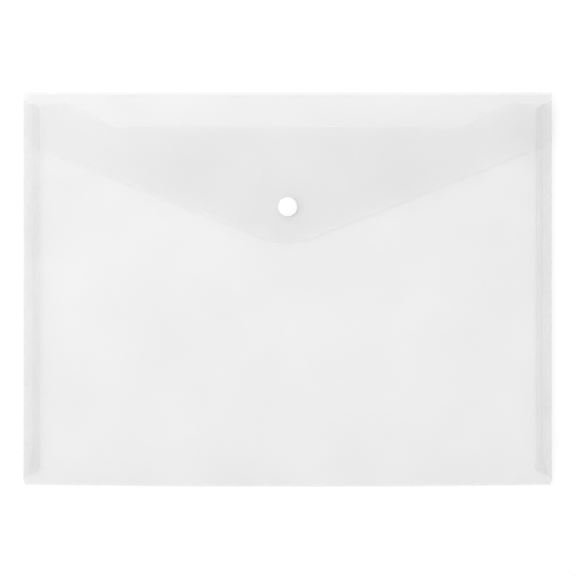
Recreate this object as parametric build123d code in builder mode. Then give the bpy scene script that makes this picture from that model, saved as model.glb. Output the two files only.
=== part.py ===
from build123d import *
import os
from math import atan2, sin

# Document wallet for A4 papers, folded from one sheet of translucent polypropylene.
# The wallet lies on its back. +X runs to its right, +Y to the top fold and +Z up, out of its front.
# The origin is on the table, under the middle of the back panel. All sizes are millimetres.

# The sheet and the folded wallet
sheet = 0.2
width = 330.0
height = 245.0
pocket_depth = 5.2
bow_run = 28.0

# The front panel's top edge: low in the middle for a thumb, higher at both ends
mouth_drop = 7.0
mouth_end_width = 28.0
recess_depth = 14.3
recess_shoulder_run = 28.0
recess_radius = 14.0
mouth_corner_radius = 4.0

# The flap: straight sides, then two slanted edges that meet in a rounded point
flap_side = 31.0
flap_point = 97.0
flap_tip_radius = 45.0
flap_corner_radius = 8.0

# The side tabs: a slanted gusset from the back panel, then a strip welded under the front panel.
# Both ends of a tab slant, so that it is longest at its crease and shortest at its free edge.
gusset_run = 5.6
weld_width = 4.6
weld_corner_radius = 3.5
tab_top_gap = 4.8
tab_bottom_gap = 3.6
tab_taper = 5.0
corner_relief = 1.0

# The press stud, four mouldings riveted through the flap and the front panel
snap_drop = 71.4
snap_gap = 2.4
hole_clearance = 0.1
rivet_clearance = 0.05
post_radius = 1.5
rivet_radius = 1.9
rivet_height = 0.4
cap_radius = 6.0
cap_height = 1.05
cap_rim = 0.55
base_radius = 5.5
base_height = 0.8
base_rim = 0.5
flange_radius = 4.8
flange_height = 0.5
socket_radius = 4.8
socket_web = 0.5
socket_lip_wall = 0.85
socket_slot = 0.6
stud_bore_radius = 2.1
stud_wall = 0.4
bead = 0.25
lip_height = 0.4
lead_in = 0.15
snap_clearance = 0.12
rim_chamfer = 0.2

# Places that follow from those sizes
half_width = width / 2
half_height = height / 2
crease_y = half_height - sheet
front_z = sheet + pocket_depth
front_top = front_z + sheet
bow_end = bow_run - half_height
flap_z = front_top + snap_gap
flap_top = flap_z + sheet
snap_y = half_height - snap_drop
shoulder_y = half_height - mouth_drop
recess_y = shoulder_y - recess_depth
recess_top = half_width - mouth_end_width
recess_floor = recess_top - recess_shoulder_run
tab_top_y = half_height - tab_top_gap
tab_bottom_y = tab_bottom_gap - half_height
hole_radius = post_radius + hole_clearance
rivet_hole_radius = post_radius + rivet_clearance
flange_top = front_top + flange_height
socket_rim = flange_top + snap_clearance
socket_roof = flap_z - socket_web
stud_radius = stud_bore_radius + stud_wall
stud_top = socket_roof - snap_clearance
lip_radius = stud_radius + snap_clearance
lip_top = socket_rim + lip_height
neck_top = lip_top + snap_clearance / 2
snap_plane = Plane.XZ.offset(-snap_y)
snap_axis = Axis((0, snap_y, 0), (0, 0, 1))


def bowed_section(drop):
    """A sheet's side view: up from the bottom crease in an arc, then level, a drop below the front panel."""
    with BuildSketch(Plane.YZ) as section:
        with BuildLine():
            TangentArc((bow_end, front_z - drop), (-half_height, sheet - drop), tangent=(-1, 0))
            Line((-half_height, sheet - drop), (-half_height, 2 * sheet - drop))
            TangentArc((bow_end, front_top - drop), (-half_height, 2 * sheet - drop), tangent=(-1, 0))
            Polyline(
                (bow_end, front_top - drop),
                (shoulder_y, front_top - drop),
                (shoulder_y, front_z - drop),
                (bow_end, front_z - drop),
            )
        make_face()
    return section.sketch


# Back panel: the side that lies on the table, with corners eased below the side tabs
with BuildPart() as back_panel:
    with BuildSketch():
        with BuildLine():
            Polyline(
                (-half_width, crease_y),
                (-half_width, tab_bottom_y),
                (-half_width + corner_relief, -half_height),
                (half_width - corner_relief, -half_height),
                (half_width, tab_bottom_y),
                (half_width, crease_y),
                close=True,
            )
        make_face()
    extrude(amount=sheet)
back_panel.part.label = "back_panel"

# Front panel: bowed up from the bottom crease, with the thumb recess in its top edge and the stud's hole
with BuildPart() as front_panel:
    extrude(bowed_section(0), amount=half_width, both=True)
    with BuildSketch() as front_outline:
        with BuildLine():
            Polyline(
                (-half_width, shoulder_y),
                (-half_width, tab_bottom_y),
                (-half_width + corner_relief, -half_height),
                (half_width - corner_relief, -half_height),
                (half_width, tab_bottom_y),
                (half_width, shoulder_y),
                (recess_top, shoulder_y),
                (recess_floor, recess_y),
                (-recess_floor, recess_y),
                (-recess_top, shoulder_y),
                close=True,
            )
        make_face()
        mouth_points = front_outline.vertices().filter_by_position(Axis.Y, recess_y, shoulder_y)
        fillet(mouth_points.filter_by_position(Axis.X, -recess_top, recess_top), recess_radius)
        mouth_ends = front_outline.vertices().filter_by_position(Axis.Y, recess_y, shoulder_y)
        fillet(mouth_ends.group_by(Axis.X)[0] + mouth_ends.group_by(Axis.X)[-1], mouth_corner_radius)
        with Locations((0, snap_y)):
            Circle(hole_radius, mode=Mode.SUBTRACT)
    extrude(amount=front_top, mode=Mode.INTERSECT)
front_panel.part.label = "front_panel"

# Side tabs, left and right. The gusset slants in and up from the back panel's side crease.
# The weld tab carries on from its top edge and follows the inside of the front panel.
gusset_thickness = sheet / sin(atan2(pocket_depth, gusset_run))
gusset_foot = half_width - gusset_thickness
gusset_head = gusset_foot - gusset_run
weld_inside = gusset_head - weld_width
tab_plane = Plane.XZ.offset(-tab_top_y)
tab_length = tab_top_y - tab_bottom_y
side_tabs = []
for side, sign in (("left", -1), ("right", 1)):
    with BuildSketch() as tab_outline:
        with BuildLine():
            Polyline(
                (sign * half_width, tab_top_y),
                (sign * half_width, tab_bottom_y),
                (sign * weld_inside, tab_bottom_y + tab_taper),
                (sign * weld_inside, tab_top_y - tab_taper),
                close=True,
            )
        make_face()
        fillet(tab_outline.vertices().sort_by(lambda corner: abs(corner.X))[:2], weld_corner_radius)
    with BuildPart() as gusset:
        with BuildSketch(tab_plane):
            with BuildLine():
                Polyline(
                    (sign * gusset_foot, sheet),
                    (sign * half_width, sheet),
                    (sign * (gusset_head + gusset_thickness), front_z),
                    (sign * gusset_head, front_z),
                    close=True,
                )
            make_face()
        extrude(amount=tab_length)
        with BuildSketch(Plane.YZ):
            with BuildLine():
                TangentArc((bow_end, front_z), (-half_height, sheet), tangent=(-1, 0))
                Polyline(
                    (-half_height, sheet),
                    (half_height, sheet),
                    (half_height, front_z),
                    (bow_end, front_z),
                )
            make_face()
        extrude(amount=half_width, both=True, mode=Mode.INTERSECT)
        extrude(tab_outline.sketch, amount=front_z, mode=Mode.INTERSECT)
    gusset.part.label = f"{side}_gusset"
    with BuildPart() as weld_tab:
        extrude(bowed_section(sheet), amount=half_width, both=True)
        extrude(tab_outline.sketch, amount=front_z, mode=Mode.INTERSECT)
        with BuildSketch(tab_plane):
            with BuildLine():
                Polyline(
                    (sign * gusset_foot, sheet),
                    (sign * half_width, sheet),
                    (sign * half_width, front_z),
                    (sign * gusset_head, front_z),
                    close=True,
                )
            make_face()
        extrude(amount=tab_length, mode=Mode.SUBTRACT)
    weld_tab.part.label = f"{side}_weld_tab"
    side_tabs += [gusset, weld_tab]

# Top spine: the strip between the two top creases, the first of the flap's living hinges
with BuildPart() as top_spine:
    with BuildSketch(Plane.XY.offset(sheet)):
        with Locations((0, crease_y)):
            Rectangle(width, sheet, align=(Align.CENTER, Align.MIN))
    extrude(amount=flap_z - sheet)
top_spine.part.label = "top_spine"

# Flap: the pointed cover that folds down over the pocket
with BuildPart() as flap:
    with BuildSketch(Plane.XY.offset(flap_z)) as flap_outline:
        with BuildLine():
            Polyline(
                (-half_width, crease_y),
                (-half_width, half_height - flap_side),
                (0, half_height - flap_point),
                (half_width, half_height - flap_side),
                (half_width, crease_y),
                close=True,
            )
        make_face()
        flap_corners = flap_outline.vertices().group_by(Axis.Y)
        fillet(flap_corners[0], flap_tip_radius)
        fillet(flap_corners[1], flap_corner_radius)
        with Locations((0, snap_y)):
            Circle(hole_radius, mode=Mode.SUBTRACT)
    extrude(amount=sheet)
flap.part.label = "flap"

# Snap cap: the white button on the flap. Its post is riveted over inside the socket.
with BuildPart() as snap_cap:
    with BuildSketch(snap_plane) as cap_profile:
        with BuildLine():
            TangentArc((0, flap_top + cap_height), (cap_radius, flap_top + cap_rim), tangent=(1, 0))
            Polyline(
                (cap_radius, flap_top + cap_rim),
                (cap_radius, flap_top),
                (post_radius, flap_top),
                (post_radius, socket_roof),
                (rivet_radius, socket_roof),
                (rivet_radius, socket_roof - rivet_height / 2),
                (rivet_radius - rivet_height / 2, socket_roof - rivet_height),
                (0, socket_roof - rivet_height),
                (0, flap_top + cap_height),
            )
        make_face()
        chamfer(cap_profile.vertices().group_by(Axis.X)[-1].sort_by(Axis.Z)[-1:], rim_chamfer)
    revolve(axis=snap_axis)
snap_cap.part.label = "snap_cap"

# Snap socket: under the flap. A slot round its lip lets the lip spring over the stud's bead.
slot_inner = lip_radius + socket_lip_wall
slot_outer = slot_inner + socket_slot
with BuildPart() as snap_socket:
    with BuildSketch(snap_plane):
        with BuildLine():
            Polyline(
                (rivet_hole_radius, flap_z),
                (socket_radius, flap_z),
                (socket_radius, socket_rim),
                (slot_outer, socket_rim),
                (slot_outer, socket_roof),
                (slot_inner, socket_roof),
                (slot_inner, socket_rim),
                (lip_radius + lead_in, socket_rim),
                (lip_radius, socket_rim + lead_in),
                (lip_radius, lip_top),
            )
            ThreePointArc(
                (lip_radius, lip_top),
                (lip_radius + bead, (lip_top + socket_roof) / 2),
                (lip_radius, socket_roof),
            )
            Polyline((lip_radius, socket_roof), (rivet_hole_radius, socket_roof), (rivet_hole_radius, flap_z))
        make_face()
    revolve(axis=snap_axis)
snap_socket.part.label = "snap_socket"

# Snap stud: on the front panel. Its hollow neck ends in the bead that the socket's lip holds.
with BuildPart() as snap_stud:
    with BuildSketch(snap_plane):
        with BuildLine():
            Polyline(
                (rivet_hole_radius, front_top),
                (flange_radius, front_top),
                (flange_radius, flange_top),
                (stud_radius, flange_top),
                (stud_radius, neck_top),
            )
            ThreePointArc(
                (stud_radius, neck_top),
                (stud_radius + bead, (neck_top + stud_top) / 2),
                (stud_radius, stud_top),
            )
            Polyline(
                (stud_radius, stud_top),
                (stud_bore_radius, stud_top),
                (stud_bore_radius, flange_top),
                (rivet_hole_radius, flange_top),
                (rivet_hole_radius, front_top),
            )
        make_face()
    revolve(axis=snap_axis)
snap_stud.part.label = "snap_stud"

# Snap base: the disc inside the pocket. Its post is riveted over in the stud's hollow neck.
with BuildPart() as snap_base:
    with BuildSketch(snap_plane):
        with BuildLine():
            TangentArc((0, front_z - base_height), (base_radius, front_z - base_rim), tangent=(1, 0))
            Polyline(
                (base_radius, front_z - base_rim),
                (base_radius, front_z),
                (post_radius, front_z),
                (post_radius, flange_top),
                (rivet_radius, flange_top),
                (rivet_radius, flange_top + rivet_height / 2),
                (rivet_radius - rivet_height / 2, flange_top + rivet_height),
                (0, flange_top + rivet_height),
                (0, front_z - base_height),
            )
        make_face()
    revolve(axis=snap_axis)
snap_base.part.label = "snap_base"

# One file for each piece
os.makedirs("parts", exist_ok=True)
sheet_panels = [back_panel, front_panel, *side_tabs, top_spine, flap]
snap_pieces = [snap_cap, snap_socket, snap_stud, snap_base]
for piece in sheet_panels + snap_pieces:
    export_step(piece.part, f"parts/{piece.part.label}.step")
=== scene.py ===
# %% [markdown]
# # A translucent document wallet
# The real wallet is one sheet of frosted polypropylene, creased, folded and welded into a pocket with a
# pointed flap, and closed by a white press stud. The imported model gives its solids, creases and joints.
# This lesson dresses them: each flat panel becomes a thin sheet that has settled as plastic does, with
# rounded creases, cut edges and a frosted finish, and it ends with the light and the camera.

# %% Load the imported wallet
import math
import bmesh
import bpy
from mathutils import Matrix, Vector


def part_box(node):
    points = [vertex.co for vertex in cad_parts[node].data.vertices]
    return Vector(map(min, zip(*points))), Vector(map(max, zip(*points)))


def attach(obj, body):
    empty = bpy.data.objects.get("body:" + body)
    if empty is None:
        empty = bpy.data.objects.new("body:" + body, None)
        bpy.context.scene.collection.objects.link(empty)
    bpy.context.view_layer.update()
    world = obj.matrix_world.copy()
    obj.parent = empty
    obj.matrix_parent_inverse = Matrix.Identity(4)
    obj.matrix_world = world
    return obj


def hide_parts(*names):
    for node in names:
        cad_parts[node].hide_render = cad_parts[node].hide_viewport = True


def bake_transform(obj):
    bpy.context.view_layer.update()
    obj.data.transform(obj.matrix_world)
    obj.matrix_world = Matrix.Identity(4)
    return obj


MM = 0.001

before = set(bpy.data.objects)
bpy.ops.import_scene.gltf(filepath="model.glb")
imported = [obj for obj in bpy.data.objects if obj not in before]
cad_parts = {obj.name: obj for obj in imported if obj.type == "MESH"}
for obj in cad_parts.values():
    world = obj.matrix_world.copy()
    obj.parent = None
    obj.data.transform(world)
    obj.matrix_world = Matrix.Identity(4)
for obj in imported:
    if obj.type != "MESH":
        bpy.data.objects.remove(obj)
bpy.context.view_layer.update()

# %% [markdown]
# ## Sizes
# A sheet 0.2 mm thick is easier to think about in millimetres, so every sheet is drawn in them and scaled
# to metres at the end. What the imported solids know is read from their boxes, so the sheets follow them.
# Only the lines that a box can't tell, such as the slant of the flap, are written in this file again.

# %% Read the sizes of the sheet and its folds
def lowest(node):
    """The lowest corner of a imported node, in millimetres."""
    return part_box(node)[0] / MM


def highest(node):
    """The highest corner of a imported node, in millimetres."""
    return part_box(node)[1] / MM


GAUGE = highest("back_panel").z
HALF_WIDTH = highest("back_panel").x
BOTTOM = lowest("back_panel").y
TOP_EDGE = highest("top_spine").y
FOLD = TOP_EDGE - GAUGE / 2
BACK_MID = GAUGE / 2
FRONT_MID = highest("front_panel").z - GAUGE / 2
FLAP_MID = highest("flap").z - GAUGE / 2
SNAP = (lowest("snap_cap") + highest("snap_cap")).xy / 2
print("sheet", round(GAUGE, 2), "front at", round(FRONT_MID, 2), "flap at", round(FLAP_MID, 2),
      "press stud at", [round(value, 1) for value in SNAP])

# %% [markdown]
# ## How the sheets settle
# Thin plastic is never quite flat. It sags where nothing carries it, and the press stud holds it in place.
# Sculpting this by hand wouldn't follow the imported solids, so small functions give the height of each sheet,
# and every piece that lies on another asks the same function, so that they stay in contact. They share two
# parts: a smooth step from 0 to 1, and a dimple round the press stud.

# %% A smooth step, and the hold of the press stud
def ease(value, start, end):
    """0 before start, 1 after end, and a smooth step between them."""
    share = min(max((value - start) / (end - start), 0.0), 1.0)
    return share * share * (3 - 2 * share)


def held_by_snap(x, y, reach):
    """0 at the press stud, which holds the sheet, and 1 well away from it."""
    return 1 - math.exp(-((x - SNAP.x) ** 2 + (y - SNAP.y) ** 2) / (2 * reach * reach))


print("free to sag 10 and 40 mm from the stud, with a reach of 20 mm:",
      [round(held_by_snap(SNAP.x + away, SNAP.y, reach=20), 2) for away in (10, 40)])

# %% [markdown]
# ## Height of the front panel
# The front panel rises from the bottom crease in a bow, an arc that ends level, and further up it sags a
# little between the two side welds. A cloth simulation could find that sag, but stiff sheet moves so little
# that one formula is quicker and gives the same result each time.

# %% Height of the front panel
TAB_INSIDE = lowest("right_weld_tab").x
WELD_MARGIN = 2.0
BOW_RUN = 28.0
SAG = 1.0
SAG_START, SAG_END = 8.0, 85.0
SAG_HOLD = 20.0


def front_height(x, y):
    """The middle of the front panel's thickness at a place on it."""
    rise = FRONT_MID - BACK_MID - GAUGE
    radius = (BOW_RUN ** 2 + rise ** 2) / (2 * rise)
    short = min(max(BOTTOM + BOW_RUN - y, 0.0), BOW_RUN)
    bow = radius - math.sqrt(radius * radius - short * short)
    between_welds = max(0.0, 1 - (x / (TAB_INSIDE - WELD_MARGIN)) ** 2) ** 2
    come_in = ease(y, BOTTOM + SAG_START, BOTTOM + SAG_END)
    sag = SAG * between_welds * come_in * held_by_snap(x, y, SAG_HOLD)
    return FRONT_MID - bow - sag


print("front panel at the middle:", round(front_height(0, 0), 2),
      "at a weld:", round(front_height(TAB_INSIDE, 0), 2))

# %% [markdown]
# ## Height of the flap, and the belly of the bottom crease
# The flap arches up between its fold and the stud, and droops to its free edge until that almost lies on the
# front panel. The bottom crease isn't quite straight either: the pocket makes it belly out, which moves
# every piece near it down by the same small amount, so nothing parts.

# %% Height of the flap, and the belly
FLAP_SIDE = 31.0
FLAP_POINT = 97.0
ARCH = 0.4
ARCH_HOLD = 12.0
EDGE_DROOP = 2.0
DROOP_REACH = 34.0
DROOP_START, DROOP_END = 4.0, 30.0
DROOP_HOLD = 8.0
BELLY = 1.2
BELLY_RUN = 60.0


def flap_height(x, y):
    """The middle of the flap's thickness at a place on it."""
    along = min(max((FOLD - y) / (FOLD - SNAP.y), 0.0), 1.0)
    arch = ARCH * math.sin(math.pi * along) ** 2 * held_by_snap(x, y, ARCH_HOLD)
    slant = (FLAP_POINT - FLAP_SIDE) / HALF_WIDTH
    to_edge = (FLAP_POINT - slant * abs(x) - (FOLD - y)) / math.hypot(1, slant)
    near_edge = 1 - ease(to_edge, 0, DROOP_REACH)
    past_fold = ease(FOLD - y, DROOP_START, DROOP_END)
    droop = EDGE_DROOP * near_edge * past_fold * held_by_snap(x, y, DROOP_HOLD)
    return FLAP_MID + arch - droop


def belly(x, y):
    """How far a place near the bottom crease lies below its straight line."""
    return BELLY * (1 - (x / HALF_WIDTH) ** 2) * (1 - ease(y, BOTTOM, BOTTOM + BELLY_RUN))


print("flap at its point:", round(flap_height(0, TOP_EDGE - FLAP_POINT), 2), "belly:", belly(0, BOTTOM))

# %% [markdown]
# ## The frosted finish
# Polypropylene for wallets is milky: most light goes straight through, a little is scattered back, and a fine
# embossed grain breaks the shine. Glass with rough transmission would blur the floor but needs many samples,
# and it can't show several layers cheaply. A plain Alpha on one Principled node does: each face adds a thin
# veil, so two layers look denser than one. The patterns come from a few kinds of node, so helpers make them.

# %% Node helpers
RAMP_START, RAMP_END = 0.3, 0.7


def new_finish(name):
    """A material with one Principled node, and its tree."""
    finish = bpy.data.materials.new(name)
    finish.use_nodes = True
    tree = finish.node_tree
    return finish, tree, tree.nodes["Principled BSDF"]


def add(tree, kind, **values):
    """A node of one kind, with its input sockets set by name or its own properties."""
    node = tree.nodes.new(kind)
    for name, value in values.items():
        socket = name.replace("_", " ").title()
        if socket in node.inputs:
            node.inputs[socket].default_value = value
        else:
            setattr(node, name, value)
    return node


def noise(tree, place, scale, detail):
    """A noise pattern on the piece's own coordinates, in cycles for each metre."""
    texture = add(tree, "ShaderNodeTexNoise", scale=scale, detail=detail)
    tree.links.new(place.outputs["Object"], texture.inputs["Vector"])
    return texture.outputs["Fac"]


def ramp(tree, fac, low, high):
    """A colour ramp between two greys."""
    node = tree.nodes.new("ShaderNodeValToRGB")
    for element, position, grey in zip(node.color_ramp.elements, (RAMP_START, RAMP_END), (low, high)):
        element.position = position
        element.color = (grey, grey, grey, 1)
    tree.links.new(fac, node.inputs["Fac"])
    return node.outputs["Color"]


def spread(tree, fac, low, high):
    """Maps a pattern from 0..1 to low..high."""
    node = add(tree, "ShaderNodeMapRange", to_min=low, to_max=high)
    tree.links.new(fac, node.inputs["Value"])
    return node.outputs["Result"]


def roughen(tree, shader, pattern, strength, depth):
    """A bump from a pattern: depth is how high it stands in metres, strength how much of that shows."""
    bump = add(tree, "ShaderNodeBump", strength=strength, distance=depth)
    tree.links.new(pattern, bump.inputs["Height"])
    tree.links.new(bump.outputs["Normal"], shader.inputs["Normal"])


print("patterns are drawn between", RAMP_START, "and", RAMP_END, "of a noise")

# %% [markdown]
# ## Sheet, cut edge, crease and weld
# All four finishes are the same plastic. Slow noise clouds the veil's tone, and fine noise gives the grain in
# its tone, roughness and bump. A cut edge shows denser because one looks along the sheet, and stress whitens a
# crease. The welded strip is made darker and denser, which is painted shade along the side tabs. So one
# function makes them all.

# %% Sheet, cut edge, crease and weld
CLOUD_SCALE = 18
GRAIN_SCALE = 2600
GRAIN_DEPTH = 0.00003
SATIN = 0.3, 0.5
SHEET_IOR = 1.9


def frosted(name, alpha, low, high, grain):
    """A milky sheet: alpha is how dense one face is, low and high are its greys, grain how much it shows."""
    finish, tree, shader = new_finish(name)
    place = tree.nodes.new("ShaderNodeTexCoord")
    cloud = noise(tree, place, CLOUD_SCALE, detail=4)
    emboss = noise(tree, place, GRAIN_SCALE, detail=2)
    tone = add(tree, "ShaderNodeMix", factor=0.5)
    tree.links.new(cloud, tone.inputs["A"])
    tree.links.new(emboss, tone.inputs["B"])
    tree.links.new(ramp(tree, tone.outputs["Result"], low, high), shader.inputs["Base Color"])
    tree.links.new(spread(tree, emboss, *SATIN), shader.inputs["Roughness"])
    roughen(tree, shader, emboss, grain, GRAIN_DEPTH)
    shader.inputs["Alpha"].default_value = alpha
    shader.inputs["IOR"].default_value = SHEET_IOR
    return finish


CUT_EDGE, CREASE, WELD_PAINTED_SHADE = 1, 2, 3
sheet_finishes = [
    frosted("frosted_sheet", 0.155, 0.81, 0.93, 0.4),
    frosted("cut_edge", 0.55, 0.78, 0.86, 0.1),
    frosted("whitened_crease", 0.11, 0.92, 0.99, 0.2),
    # painted shade: the welded strip's darker, denser grey stands for the shade along the side tabs
    frosted("welded_strip_painted_shade", 0.2, 0.675, 0.795, 0.6),
]
print("finishes:", [finish.name for finish in sheet_finishes])

# %% [markdown]
# ## Cutting a blank
# On the real wallet a die cuts the blank. Here a few corner points make one face, and a vertex bevel rounds
# each corner to its radius. The back panel is the simplest sheet, so it comes first. It lies flat on the
# table. Its side edges stop short of the side creases, where the gussets' rounded folds take over, and its
# top edge stops where the top fold begins to roll up, so no two sheets lie in the same place.

# %% Blank of the back panel
ROUND_STEPS = 12
CREASE_LAP = 1.0
FOLD_RADIUS = 3.0
CORNER_RELIEF = 1.0
FOLD_START = FOLD - FOLD_RADIUS
TAB_TOP = highest("right_gusset").y
TAB_BOTTOM = lowest("right_gusset").y


def cut_blank(corners):
    """A flat face through corners of (x, y, radius), counter-clockwise, each corner rounded to its radius."""
    blank = bmesh.new()
    points = [blank.verts.new((x, y, 0)) for x, y, radius in corners]
    blank.faces.new(points)
    for point, (x, y, radius) in zip(points, corners):
        if radius:
            sides = [edge.other_vert(point).co - point.co for edge in point.link_edges]
            reach = radius / math.tan(sides[0].angle(sides[1]) / 2)
            bmesh.ops.bevel(blank, geom=[point], offset=reach, offset_type="OFFSET", affect="VERTICES",
                            segments=ROUND_STEPS, profile=0.5, material=-1)
    return blank


notch = HALF_WIDTH - CREASE_LAP
corner = HALF_WIDTH - CORNER_RELIEF
back_foot = BOTTOM + CREASE_LAP
back = cut_blank([
    (-corner, back_foot, 0), (corner, back_foot, 0),
    (HALF_WIDTH, TAB_BOTTOM, 0), (notch, TAB_BOTTOM, 0), (notch, TAB_TOP, 0), (HALF_WIDTH, TAB_TOP, 0),
    (HALF_WIDTH, FOLD_START, 0), (-HALF_WIDTH, FOLD_START, 0),
    (-HALF_WIDTH, TAB_TOP, 0), (-notch, TAB_TOP, 0), (-notch, TAB_BOTTOM, 0), (-HALF_WIDTH, TAB_BOTTOM, 0),
])
print("back blank:", len(back.verts), "corners")

# %% [markdown]
# ## Points to bend at
# A face with no points inside can't bend. So planes cut it into a grid, at even places along each axis. The
# other way, a ready grid trimmed by a boolean, leaves ragged triangles along slanted edges.

# %% Slice the back panel
ALONG_X, ALONG_Y = 0, 1
CLOSE = 1e-4
BACK_PITCH = 22


def steps(start, end, pitch):
    """Even places between start and end, about a pitch apart, without the ends."""
    count = max(1, round((end - start) / pitch))
    return [start + (end - start) * step / count for step in range(1, count)]


def slice_blank(blank, axis, places):
    """Cuts the sheet across one axis at each place, to give it points to bend at."""
    normal = Vector((0, 0, 0))
    normal[axis] = 1
    for place in places:
        bmesh.ops.bisect_plane(blank, geom=blank.verts[:] + blank.edges[:] + blank.faces[:], dist=CLOSE,
                               plane_co=normal * place, plane_no=normal)


slice_blank(back, ALONG_X, steps(-notch, notch, BACK_PITCH))
slice_blank(back, ALONG_Y, steps(BOTTOM, FOLD_START, BACK_PITCH))
print("back panel sliced into", len(back.faces), "faces")

# %% [markdown]
# ## Height and thickness
# Each point of the flat blank is lifted to its settled height, and then the sheet gets its gauge, half to
# each side. A Solidify modifier could do that as well, but the operator leaves the old faces known, so the
# walls round the rim are easy to find: they are the new faces beside the old rim. They get the finish of a
# cut edge, but not where the rim is joined to the next piece, because the real sheet runs on there.

# %% Settle and thicken the back panel
ON_LINE = 1e-3


def settle(blank, height):
    """Lifts each point of a flat sheet to where the sheet has settled."""
    for point in blank.verts:
        point.co.z = height(point.co.x, point.co.y)


def thicken(blank, joined):
    """Gives the sheet its gauge, half to each side. Its rim is a cut edge, except where joined(place)."""
    middle = list(blank.faces)
    cut = [edge for edge in blank.edges if edge.is_boundary
           and not joined((edge.verts[0].co + edge.verts[1].co) / 2)]
    blank.normal_update()
    for point, normal in [(point, point.normal.copy()) for point in blank.verts]:
        point.co += normal * GAUGE / 2
    bmesh.ops.solidify(blank, geom=middle, thickness=GAUGE)
    walls = {face for edge in cut for face in edge.link_faces} - set(middle)
    for face in walls:
        face.material_index = CUT_EDGE
    bmesh.ops.recalc_face_normals(blank, faces=blank.faces)
    print("cut edges:", len(walls), "faces")


settle(back, lambda x, y: BACK_MID)
thicken(back, lambda rim: abs(rim.x) < notch + ON_LINE)
print("back panel:", round(back.calc_volume()), "cubic mm of plastic")

# %% [markdown]
# ## From sheet to object
# A finished sheet is bellied, scaled to metres and put into an object at the origin, where the imported nodes
# are too. Smooth shading hides the facets of the bends, and edges past an angle stay sharp, so the cut edges
# do. Then the sheet is attached to the body it rides on, and the imported node it stands for is hidden.

# %% Back piece
SHARP_ANGLE = 35.0


def make_piece(name, blank):
    """Turns a finished sheet in millimetres into an object in metres at the origin."""
    for point in blank.verts:
        point.co.y -= belly(point.co.x, point.co.y)
    bmesh.ops.scale(blank, vec=(MM, MM, MM), verts=blank.verts)
    mesh = bpy.data.meshes.new(name)
    blank.to_mesh(mesh)
    blank.free()
    for finish in sheet_finishes:
        mesh.materials.append(finish)
    mesh.shade_smooth()
    mesh.set_sharp_from_angle(angle=math.radians(SHARP_ANGLE))
    piece = bpy.data.objects.new(name, mesh)
    bpy.context.scene.collection.objects.link(piece)
    print(name, len(mesh.polygons), "faces")
    return piece


back_sheet = make_piece("back_sheet", back)
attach(back_sheet, "pocket")
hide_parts("back_panel")

# %% [markdown]
# ## Front panel
# The front panel has the thumb recess in its top edge, which is four of its corners, rounded wide. A curve
# would draw it as well, but corners with radii can be measured in a photograph and changed one by one. The
# bow gets closer slices than the level part, because that is where the panel bends.

# %% Blank of the front panel
MOUTH = highest("front_panel").y
MOUTH_END = 28.0
MOUTH_RADIUS = 4.0
SHOULDER_RUN = 28.0
RECESS_DEPTH = 14.3
RECESS_RADIUS = 14.0
CREASE_BACK = 0.4
FRONT_PITCH = 9
BOW_PITCH = 2

recess_y = MOUTH - RECESS_DEPTH
recess_top = HALF_WIDTH - MOUTH_END
recess_floor = recess_top - SHOULDER_RUN
front_foot = BOTTOM + CREASE_BACK
front = cut_blank([
    (-corner, front_foot, 0), (corner, front_foot, 0),
    (HALF_WIDTH, TAB_BOTTOM, 0), (HALF_WIDTH, MOUTH, MOUTH_RADIUS),
    (recess_top, MOUTH, RECESS_RADIUS), (recess_floor, recess_y, RECESS_RADIUS),
    (-recess_floor, recess_y, RECESS_RADIUS), (-recess_top, MOUTH, RECESS_RADIUS),
    (-HALF_WIDTH, MOUTH, MOUTH_RADIUS), (-HALF_WIDTH, TAB_BOTTOM, 0),
])
bow_end = BOTTOM + BOW_RUN
slice_blank(front, ALONG_X, steps(-HALF_WIDTH, HALF_WIDTH, FRONT_PITCH))
slice_blank(front, ALONG_Y, steps(BOTTOM, bow_end, BOW_PITCH) + steps(bow_end, MOUTH, FRONT_PITCH))
print("front panel sliced into", len(front.faces), "faces")

# %% [markdown]
# ## Punched hole
# The stud's post goes through a round hole. A boolean would cut one, but it is easily upset by thin sheets.
# So the faces near the hole are taken out, a circle is put in, and the gap between them is filled.

# %% Punch the front panel
POST_HOLE = 1.6
HOLE_STEPS = 32
FRONT_CLEAR = 9


def punch_hole(blank, centre, radius, clear):
    """Cuts a round hole: takes out the faces near it and fills from their outline to a circle."""
    near = [face for face in blank.faces if (face.calc_center_median().xy - centre).length < clear]
    outline = [edge for edge in {edge for face in near for edge in face.edges}
               if sum(face in near for face in edge.link_faces) == 1]
    bmesh.ops.delete(blank, geom=near, context="FACES_KEEP_BOUNDARY")
    ring = bmesh.ops.create_circle(blank, segments=HOLE_STEPS, radius=radius)["verts"]
    bmesh.ops.translate(blank, verts=ring, vec=(*centre, 0))
    circle = list({edge for point in ring for edge in point.link_edges})
    bmesh.ops.triangle_fill(blank, edges=outline + circle, use_beauty=True, normal=(0, 0, 1))
    print("punched a hole of", 2 * radius, "mm")


punch_hole(front, SNAP, POST_HOLE, FRONT_CLEAR)
settle(front, front_height)

# %% [markdown]
# ## Bottom crease
# The front panel's bottom edge is turned under to end beside the back panel, which makes the rounded bottom
# crease. Bending a longer blank would do, but its points would have to be worked out along the bend. Three
# short extrusions of the edge, each moved to its place, are plainer, and their faces are marked as a crease.

# %% Turn the bottom edge under
CREASE_TURN = [(-0.35, 0.3), (0.0, BACK_MID), (CREASE_LAP - CREASE_BACK, BACK_MID)]

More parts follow.
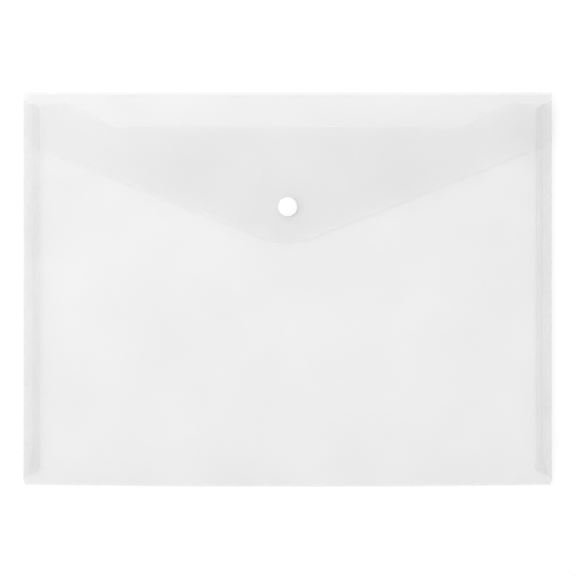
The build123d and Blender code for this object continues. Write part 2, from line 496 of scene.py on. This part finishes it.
foot = [edge for edge in front.edges if edge.is_boundary
        and all(abs(point.co.y - front_foot) < ON_LINE for point in edge.verts)]
for forward, height in CREASE_TURN:
    turned = bmesh.ops.extrude_edge_only(front, edges=foot)["geom"]
    foot = [part for part in turned if isinstance(part, bmesh.types.BMEdge)]
    for point in {point for edge in foot for point in edge.verts}:
        point.co.y, point.co.z = front_foot + forward, height
    for face in {face for edge in foot for face in edge.link_faces}:
        face.material_index = CREASE
bmesh.ops.recalc_face_normals(front, faces=front.faces)
thicken(front, lambda rim: rim.y < back_foot + ON_LINE)
front_sheet = make_piece("front_sheet", front)
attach(front_sheet, "pocket")
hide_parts("front_panel")

# %% [markdown]
# ## Side tabs
# Each side tab of the blank is creased twice: the gusset slants up from the back panel, and the strip beyond
# it is welded under the front panel. Two separate plates would show a seam that the real tab hasn't. So the
# tab is cut flat, with slanted ends and two rounded corners, then folded at the two creases, and an edge
# bevel rounds them. In the photograph only the outer crease looks whitened, perhaps because the heat of the
# weld clears the inner one, so only that is marked.

# %% Cut and fold a tab
GUSSET_RUN = 5.8
TAB_TAPER = 5.0
WELD_GAP = 0.05
WELD_ROUND = 3.5
FOLD_ROUND = 0.3
FOLD_STEPS = 4

crease_x = HALF_WIDTH - GAUGE / 2
tab_width = crease_x - TAB_INSIDE
tab_lap = CREASE_LAP - GAUGE / 2
head_rise = FRONT_MID - GAUGE - WELD_GAP - BACK_MID


def cut_tab():
    """A flat tab, from the lap on the back panel to the strip that is welded."""
    tab = cut_blank([
        (-tab_lap, TAB_BOTTOM, 0), (0, TAB_BOTTOM, 0), (tab_width, TAB_BOTTOM + TAB_TAPER, WELD_ROUND),
        (tab_width, TAB_TOP - TAB_TAPER, WELD_ROUND), (0, TAB_TOP, 0), (-tab_lap, TAB_TOP, 0),
    ])
    slice_blank(tab, ALONG_X, [0, GUSSET_RUN])
    # the strip beyond the gusset gets the weld finish, whose darker grey is painted shade
    for face in tab.faces:
        if face.calc_center_median().x > GUSSET_RUN:
            face.material_index = WELD_PAINTED_SHADE
    return tab


def fold_tab(tab):
    """Folds a flat tab: the lap goes back under it, the gusset lifts the strip, both creases get round."""
    creases = [edge for edge in tab.edges if len(edge.link_faces) == 2]
    for point in tab.verts:
        inward = point.co.x
        point.co.x = abs(inward)
        point.co.z = BACK_MID if inward <= 0 else BACK_MID + head_rise * min(inward / GUSSET_RUN, 1)
    rounded = bmesh.ops.bevel(tab, geom=creases, offset=FOLD_ROUND, offset_type="OFFSET", affect="EDGES",
                              segments=FOLD_STEPS, profile=0.5, material=-1)
    for face in rounded["faces"]:
        if face.calc_center_median().x < GUSSET_RUN / 2:
            face.material_index = CREASE


print("side tab", round(tab_width, 2), "mm wide, its strip lifted by", round(head_rise, 2), "mm")

# %% [markdown]
# ## Fitting the tabs under the front panel
# Near the bottom the front panel comes down, so the tab is squeezed there in proportion. A Shrinkwrap would
# press it flat, and this keeps its fold. The right tab is the left one scaled by -1 across the middle, which
# turns its faces inside out, so their normals are set right again afterwards.

# %% Fit both tabs
TAB_PITCH = 12


def squeeze(y):
    """How far up the gusset still reaches under the bowed front panel, from 0 to 1."""
    return (front_height(HALF_WIDTH, y) - GAUGE - WELD_GAP - BACK_MID) / head_rise


def fit_tab(tab):
    """Squeezes a folded tab under the front panel, and puts it at the left crease."""
    for point in tab.verts:
        share = squeeze(point.co.y)
        inward, head = point.co.x, GUSSET_RUN * share
        if point.co.z > BACK_MID + ON_LINE:
            if inward < GUSSET_RUN:
                inward *= share
            else:
                inward = head + (inward - GUSSET_RUN) * (tab_width - head) / (tab_width - GUSSET_RUN)
        point.co.x = inward - crease_x
        point.co.z = BACK_MID + (point.co.z - BACK_MID) * share


tab_places = steps(TAB_BOTTOM, bow_end, BOW_PITCH) + steps(bow_end, TAB_TOP, TAB_PITCH)
for side, mirror in (("left", 1), ("right", -1)):
    tab = cut_tab()
    fold_tab(tab)
    slice_blank(tab, ALONG_Y, tab_places)
    fit_tab(tab)
    bmesh.ops.recalc_face_normals(tab, faces=tab.faces)
    thicken(tab, lambda rim: rim.z < BACK_MID + ON_LINE)
    bmesh.ops.scale(tab, vec=(mirror, 1, 1), verts=tab.verts)
    bmesh.ops.recalc_face_normals(tab, faces=tab.faces)
    piece = make_piece(f"{side}_side_tab", tab)
    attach(piece, "pocket")
    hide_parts(f"{side}_gusset", f"{side}_weld_tab")

# %% [markdown]
# ## Top fold
# The back panel rolls over into the flap through two soft creases with a narrow spine between them. Each
# crease is one piece: three points make its section, an extrusion draws that out to the wallet's width, and
# an edge bevel rounds the bend. A spin would round it too, but would leave its two flat ends to be joined on.

# %% A strip rolled round one crease
SPINE_MID = (BACK_MID + FLAP_MID) / 2
ROLL_STEPS = 14
FOLD_PITCH = 15
STEEP = 0.5


def rolled_strip(name, flat_height):
    """A strip from the middle of the spine round one crease to a flat sheet's height."""
    strip = bmesh.new()
    profile = [(FOLD_START, flat_height), (FOLD, flat_height), (FOLD, SPINE_MID)]
    chain = [strip.verts.new((-HALF_WIDTH, y, z)) for y, z in profile]
    line = [strip.edges.new(pair) for pair in zip(chain, chain[1:])]
    drawn = bmesh.ops.extrude_edge_only(strip, edges=line)["geom"]
    bmesh.ops.translate(strip, verts=[part for part in drawn if isinstance(part, bmesh.types.BMVert)],
                        vec=(2 * HALF_WIDTH, 0, 0))
    crease = [edge for edge in strip.edges if len(edge.link_faces) == 2]
    bmesh.ops.bevel(strip, geom=crease, offset=FOLD_RADIUS, offset_type="OFFSET", affect="EDGES",
                    segments=ROLL_STEPS, profile=0.5, material=-1)
    bmesh.ops.remove_doubles(strip, verts=strip.verts, dist=CLOSE)
    slice_blank(strip, ALONG_X, steps(-HALF_WIDTH, HALF_WIDTH, FOLD_PITCH))
    bmesh.ops.recalc_face_normals(strip, faces=strip.faces)
    for face in strip.faces:
        if abs(face.normal.y) > STEEP:
            face.material_index = CREASE
    thicken(strip, lambda rim: abs(rim.x) < HALF_WIDTH - ON_LINE)
    return make_piece(name, strip)


print("middle of the spine at", round(SPINE_MID, 2), "mm")

# %% [markdown]
# ## Two creases
# On the real wallet the sheet unrolls at both creases when the flap is lifted. Here each crease is built as
# one strip, and the imported spine is hidden. A rigid strip would tear off there.

# %% Lower and upper crease
lower_fold = rolled_strip("lower_fold", BACK_MID)
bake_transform(lower_fold)
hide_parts("top_spine")
upper_fold = rolled_strip("upper_fold", FLAP_MID)
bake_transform(upper_fold)
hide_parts("top_spine")

# %% [markdown]
# ## Flap
# The flap is the blank's pointed end. Its two slanted edges meet in a wide rounded tip below the press stud.
# It is cut, sliced, punched and settled as the front panel is, so it needs no new tool.

# %% Flap
TIP_RADIUS = 45.0
FLAP_CORNER_RADIUS = 8.0
FLAP_PITCH = 6
FLAP_CLEAR = 8

flap_tip = TOP_EDGE - FLAP_POINT
flap = cut_blank([
    (-HALF_WIDTH, TOP_EDGE - FLAP_SIDE, FLAP_CORNER_RADIUS), (0, flap_tip, TIP_RADIUS),
    (HALF_WIDTH, TOP_EDGE - FLAP_SIDE, FLAP_CORNER_RADIUS), (HALF_WIDTH, FOLD_START, 0),
    (-HALF_WIDTH, FOLD_START, 0),
])
slice_blank(flap, ALONG_X, steps(-HALF_WIDTH, HALF_WIDTH, FRONT_PITCH))
slice_blank(flap, ALONG_Y, steps(flap_tip, FOLD_START, FLAP_PITCH))
punch_hole(flap, SNAP, POST_HOLE, FLAP_CLEAR)
settle(flap, flap_height)
thicken(flap, lambda rim: rim.y > FOLD_START - ON_LINE)
flap_sheet = make_piece("flap_sheet", flap)
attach(flap_sheet, "cover")
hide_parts("flap")

# %% [markdown]
# ## Press stud
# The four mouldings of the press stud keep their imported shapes, which are lathe-turned and exact, so only
# their finish is new. It is a glossy white plastic: a faint cloudiness in its tone, where the melt flowed,
# and a fine unevenness that breaks up reflections.

# %% White plastic
FLOW_SCALE = 260
PEEL_SCALE = 1500
PEEL_DEPTH = 0.00004
PEEL_STRENGTH = 0.15
SNAP_WHITE = 0.95, 0.97
SNAP_GLOSS = 0.22, 0.34

snap_finish, tree, shader = new_finish("white_moulding")
place = tree.nodes.new("ShaderNodeTexCoord")
flow = noise(tree, place, FLOW_SCALE, detail=3)
orange_peel = noise(tree, place, PEEL_SCALE, detail=2)
tree.links.new(ramp(tree, flow, *SNAP_WHITE), shader.inputs["Base Color"])
tree.links.new(spread(tree, orange_peel, *SNAP_GLOSS), shader.inputs["Roughness"])
roughen(tree, shader, orange_peel, PEEL_STRENGTH, PEEL_DEPTH)
snap_nodes = [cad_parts[name] for name in ("snap_cap", "snap_socket", "snap_stud", "snap_base")]
for node in snap_nodes:
    for material_slot in node.material_slots:
        material_slot.material = snap_finish
print("press stud pieces:", len(snap_nodes))

# %% [markdown]
# ## Floor
# The wallet was photographed from straight above on white. More light would whiten the floor and burn out
# the wallet too. So the floor is pale grey with a little light of its own, which is seen directly but lights
# nothing, and it still takes the wallet's faint shadow.

# %% Floor
FLOOR_COLOUR = 0.76
FLOOR_GLOW = 0.28
FLOOR_SIZE = 8.0
FLOOR_DROP = 0.0001

scene = bpy.context.scene


def seen_directly(tree):
    """1 for rays from the camera, a reflection or clear glass, and 0 for rays that carry light."""
    path = tree.nodes.new("ShaderNodeLightPath")
    seen = path.outputs["Is Camera Ray"]
    for ray in ("Is Glossy Ray", "Is Transmission Ray"):
        either = add(tree, "ShaderNodeMath", operation="MAXIMUM")
        tree.links.new(seen, either.inputs[0])
        tree.links.new(path.outputs[ray], either.inputs[1])
        seen = either.outputs[0]
    return seen


ground = bmesh.new()
bmesh.ops.create_grid(ground, x_segments=1, y_segments=1, size=FLOOR_SIZE)
floor_mesh = bpy.data.meshes.new("floor")
ground.to_mesh(floor_mesh)
ground.free()
floor = bpy.data.objects.new("floor", floor_mesh)
floor.location.z = -FLOOR_DROP
scene.collection.objects.link(floor)
floor_finish, tree, shader = new_finish("white_floor")
shader.inputs["Base Color"].default_value = (FLOOR_COLOUR, FLOOR_COLOUR, FLOOR_COLOUR, 1)
shader.inputs["Roughness"].default_value = 1.0
shader.inputs["Specular IOR Level"].default_value = 0.0
shader.inputs["Emission Color"].default_value = (1, 1, 1, 1)
glow = spread(tree, seen_directly(tree), 0.0, FLOOR_GLOW)
tree.links.new(glow, shader.inputs["Emission Strength"])
floor_mesh.materials.append(floor_finish)
print("floor", 2 * FLOOR_SIZE, "m wide, grey", FLOOR_COLOUR, "with a glow of", FLOOR_GLOW)

# %% [markdown]
# ## World and lamp
# The photograph's light is soft and comes a little more from the upper left. Many lamps could give that, but
# an even world and one large lamp are enough. A ray through the wallet crosses up to a dozen clear faces, so
# the number of faces that it may cross is raised.

# %% World
WORLD_LIGHT = 0.76
CLEAR_CROSSINGS = 32
LIGHT_BOUNCES = 6

scene.view_settings.view_transform = "Standard"
scene.cycles.transparent_max_bounces = CLEAR_CROSSINGS
scene.cycles.diffuse_bounces = LIGHT_BOUNCES

world = bpy.data.worlds.new("studio")
scene.world = world
world.use_nodes = True
tree = world.node_tree
background = tree.nodes["Background"]
background.inputs["Color"].default_value = (1, 1, 1, 1)
tree.links.new(spread(tree, seen_directly(tree), WORLD_LIGHT, 1.0), background.inputs["Strength"])
print("world lights with", WORLD_LIGHT, "and looks white; up to", CLEAR_CROSSINGS, "clear faces in a row")

# %% Lamp
LAMP_PLACE = Vector((-0.5, 0.4, 1.3))
LAMP_SIZE = 1.3
LAMP_POWER = 7.0

lamp_data = bpy.data.lights.new("soft_lamp", "AREA")
lamp_data.shape = "DISK"
lamp_data.size = LAMP_SIZE
lamp_data.energy = LAMP_POWER
lamp = bpy.data.objects.new("soft_lamp", lamp_data)
lamp.location = LAMP_PLACE
lamp.rotation_euler = (-LAMP_PLACE).to_track_quat("-Z", "Y").to_euler()
lamp.visible_camera = False
scene.collection.objects.link(lamp)
print("lamp", round(LAMP_PLACE.length, 2), "m away,", LAMP_POWER, "W")

# %% [markdown]
# ## Camera
# The photograph shows no side of the wallet, so its camera was far above. A long lens at a distance gives
# that view. An orthographic camera would as well, but real cameras have a little perspective.

# %% Camera
CAMERA_DISTANCE = 4.0
FRAME_WIDTH = 0.3592
FRAME_CENTRE = Vector((0.0002, 0.0005, 0.004))
SENSOR_WIDTH = 36.0
VIEW_END = 100.0

camera_data = bpy.data.cameras.new("camera")
camera_data.sensor_width = SENSOR_WIDTH
camera_data.lens = SENSOR_WIDTH * CAMERA_DISTANCE / FRAME_WIDTH
camera_data.clip_end = VIEW_END
camera = bpy.data.objects.new("camera", camera_data)
camera.location = FRAME_CENTRE + Vector((0, 0, CAMERA_DISTANCE))
scene.collection.objects.link(camera)
scene.camera = camera
print("lens", round(camera_data.lens), "mm, frame", round(FRAME_WIDTH / MM, 1), "mm wide")
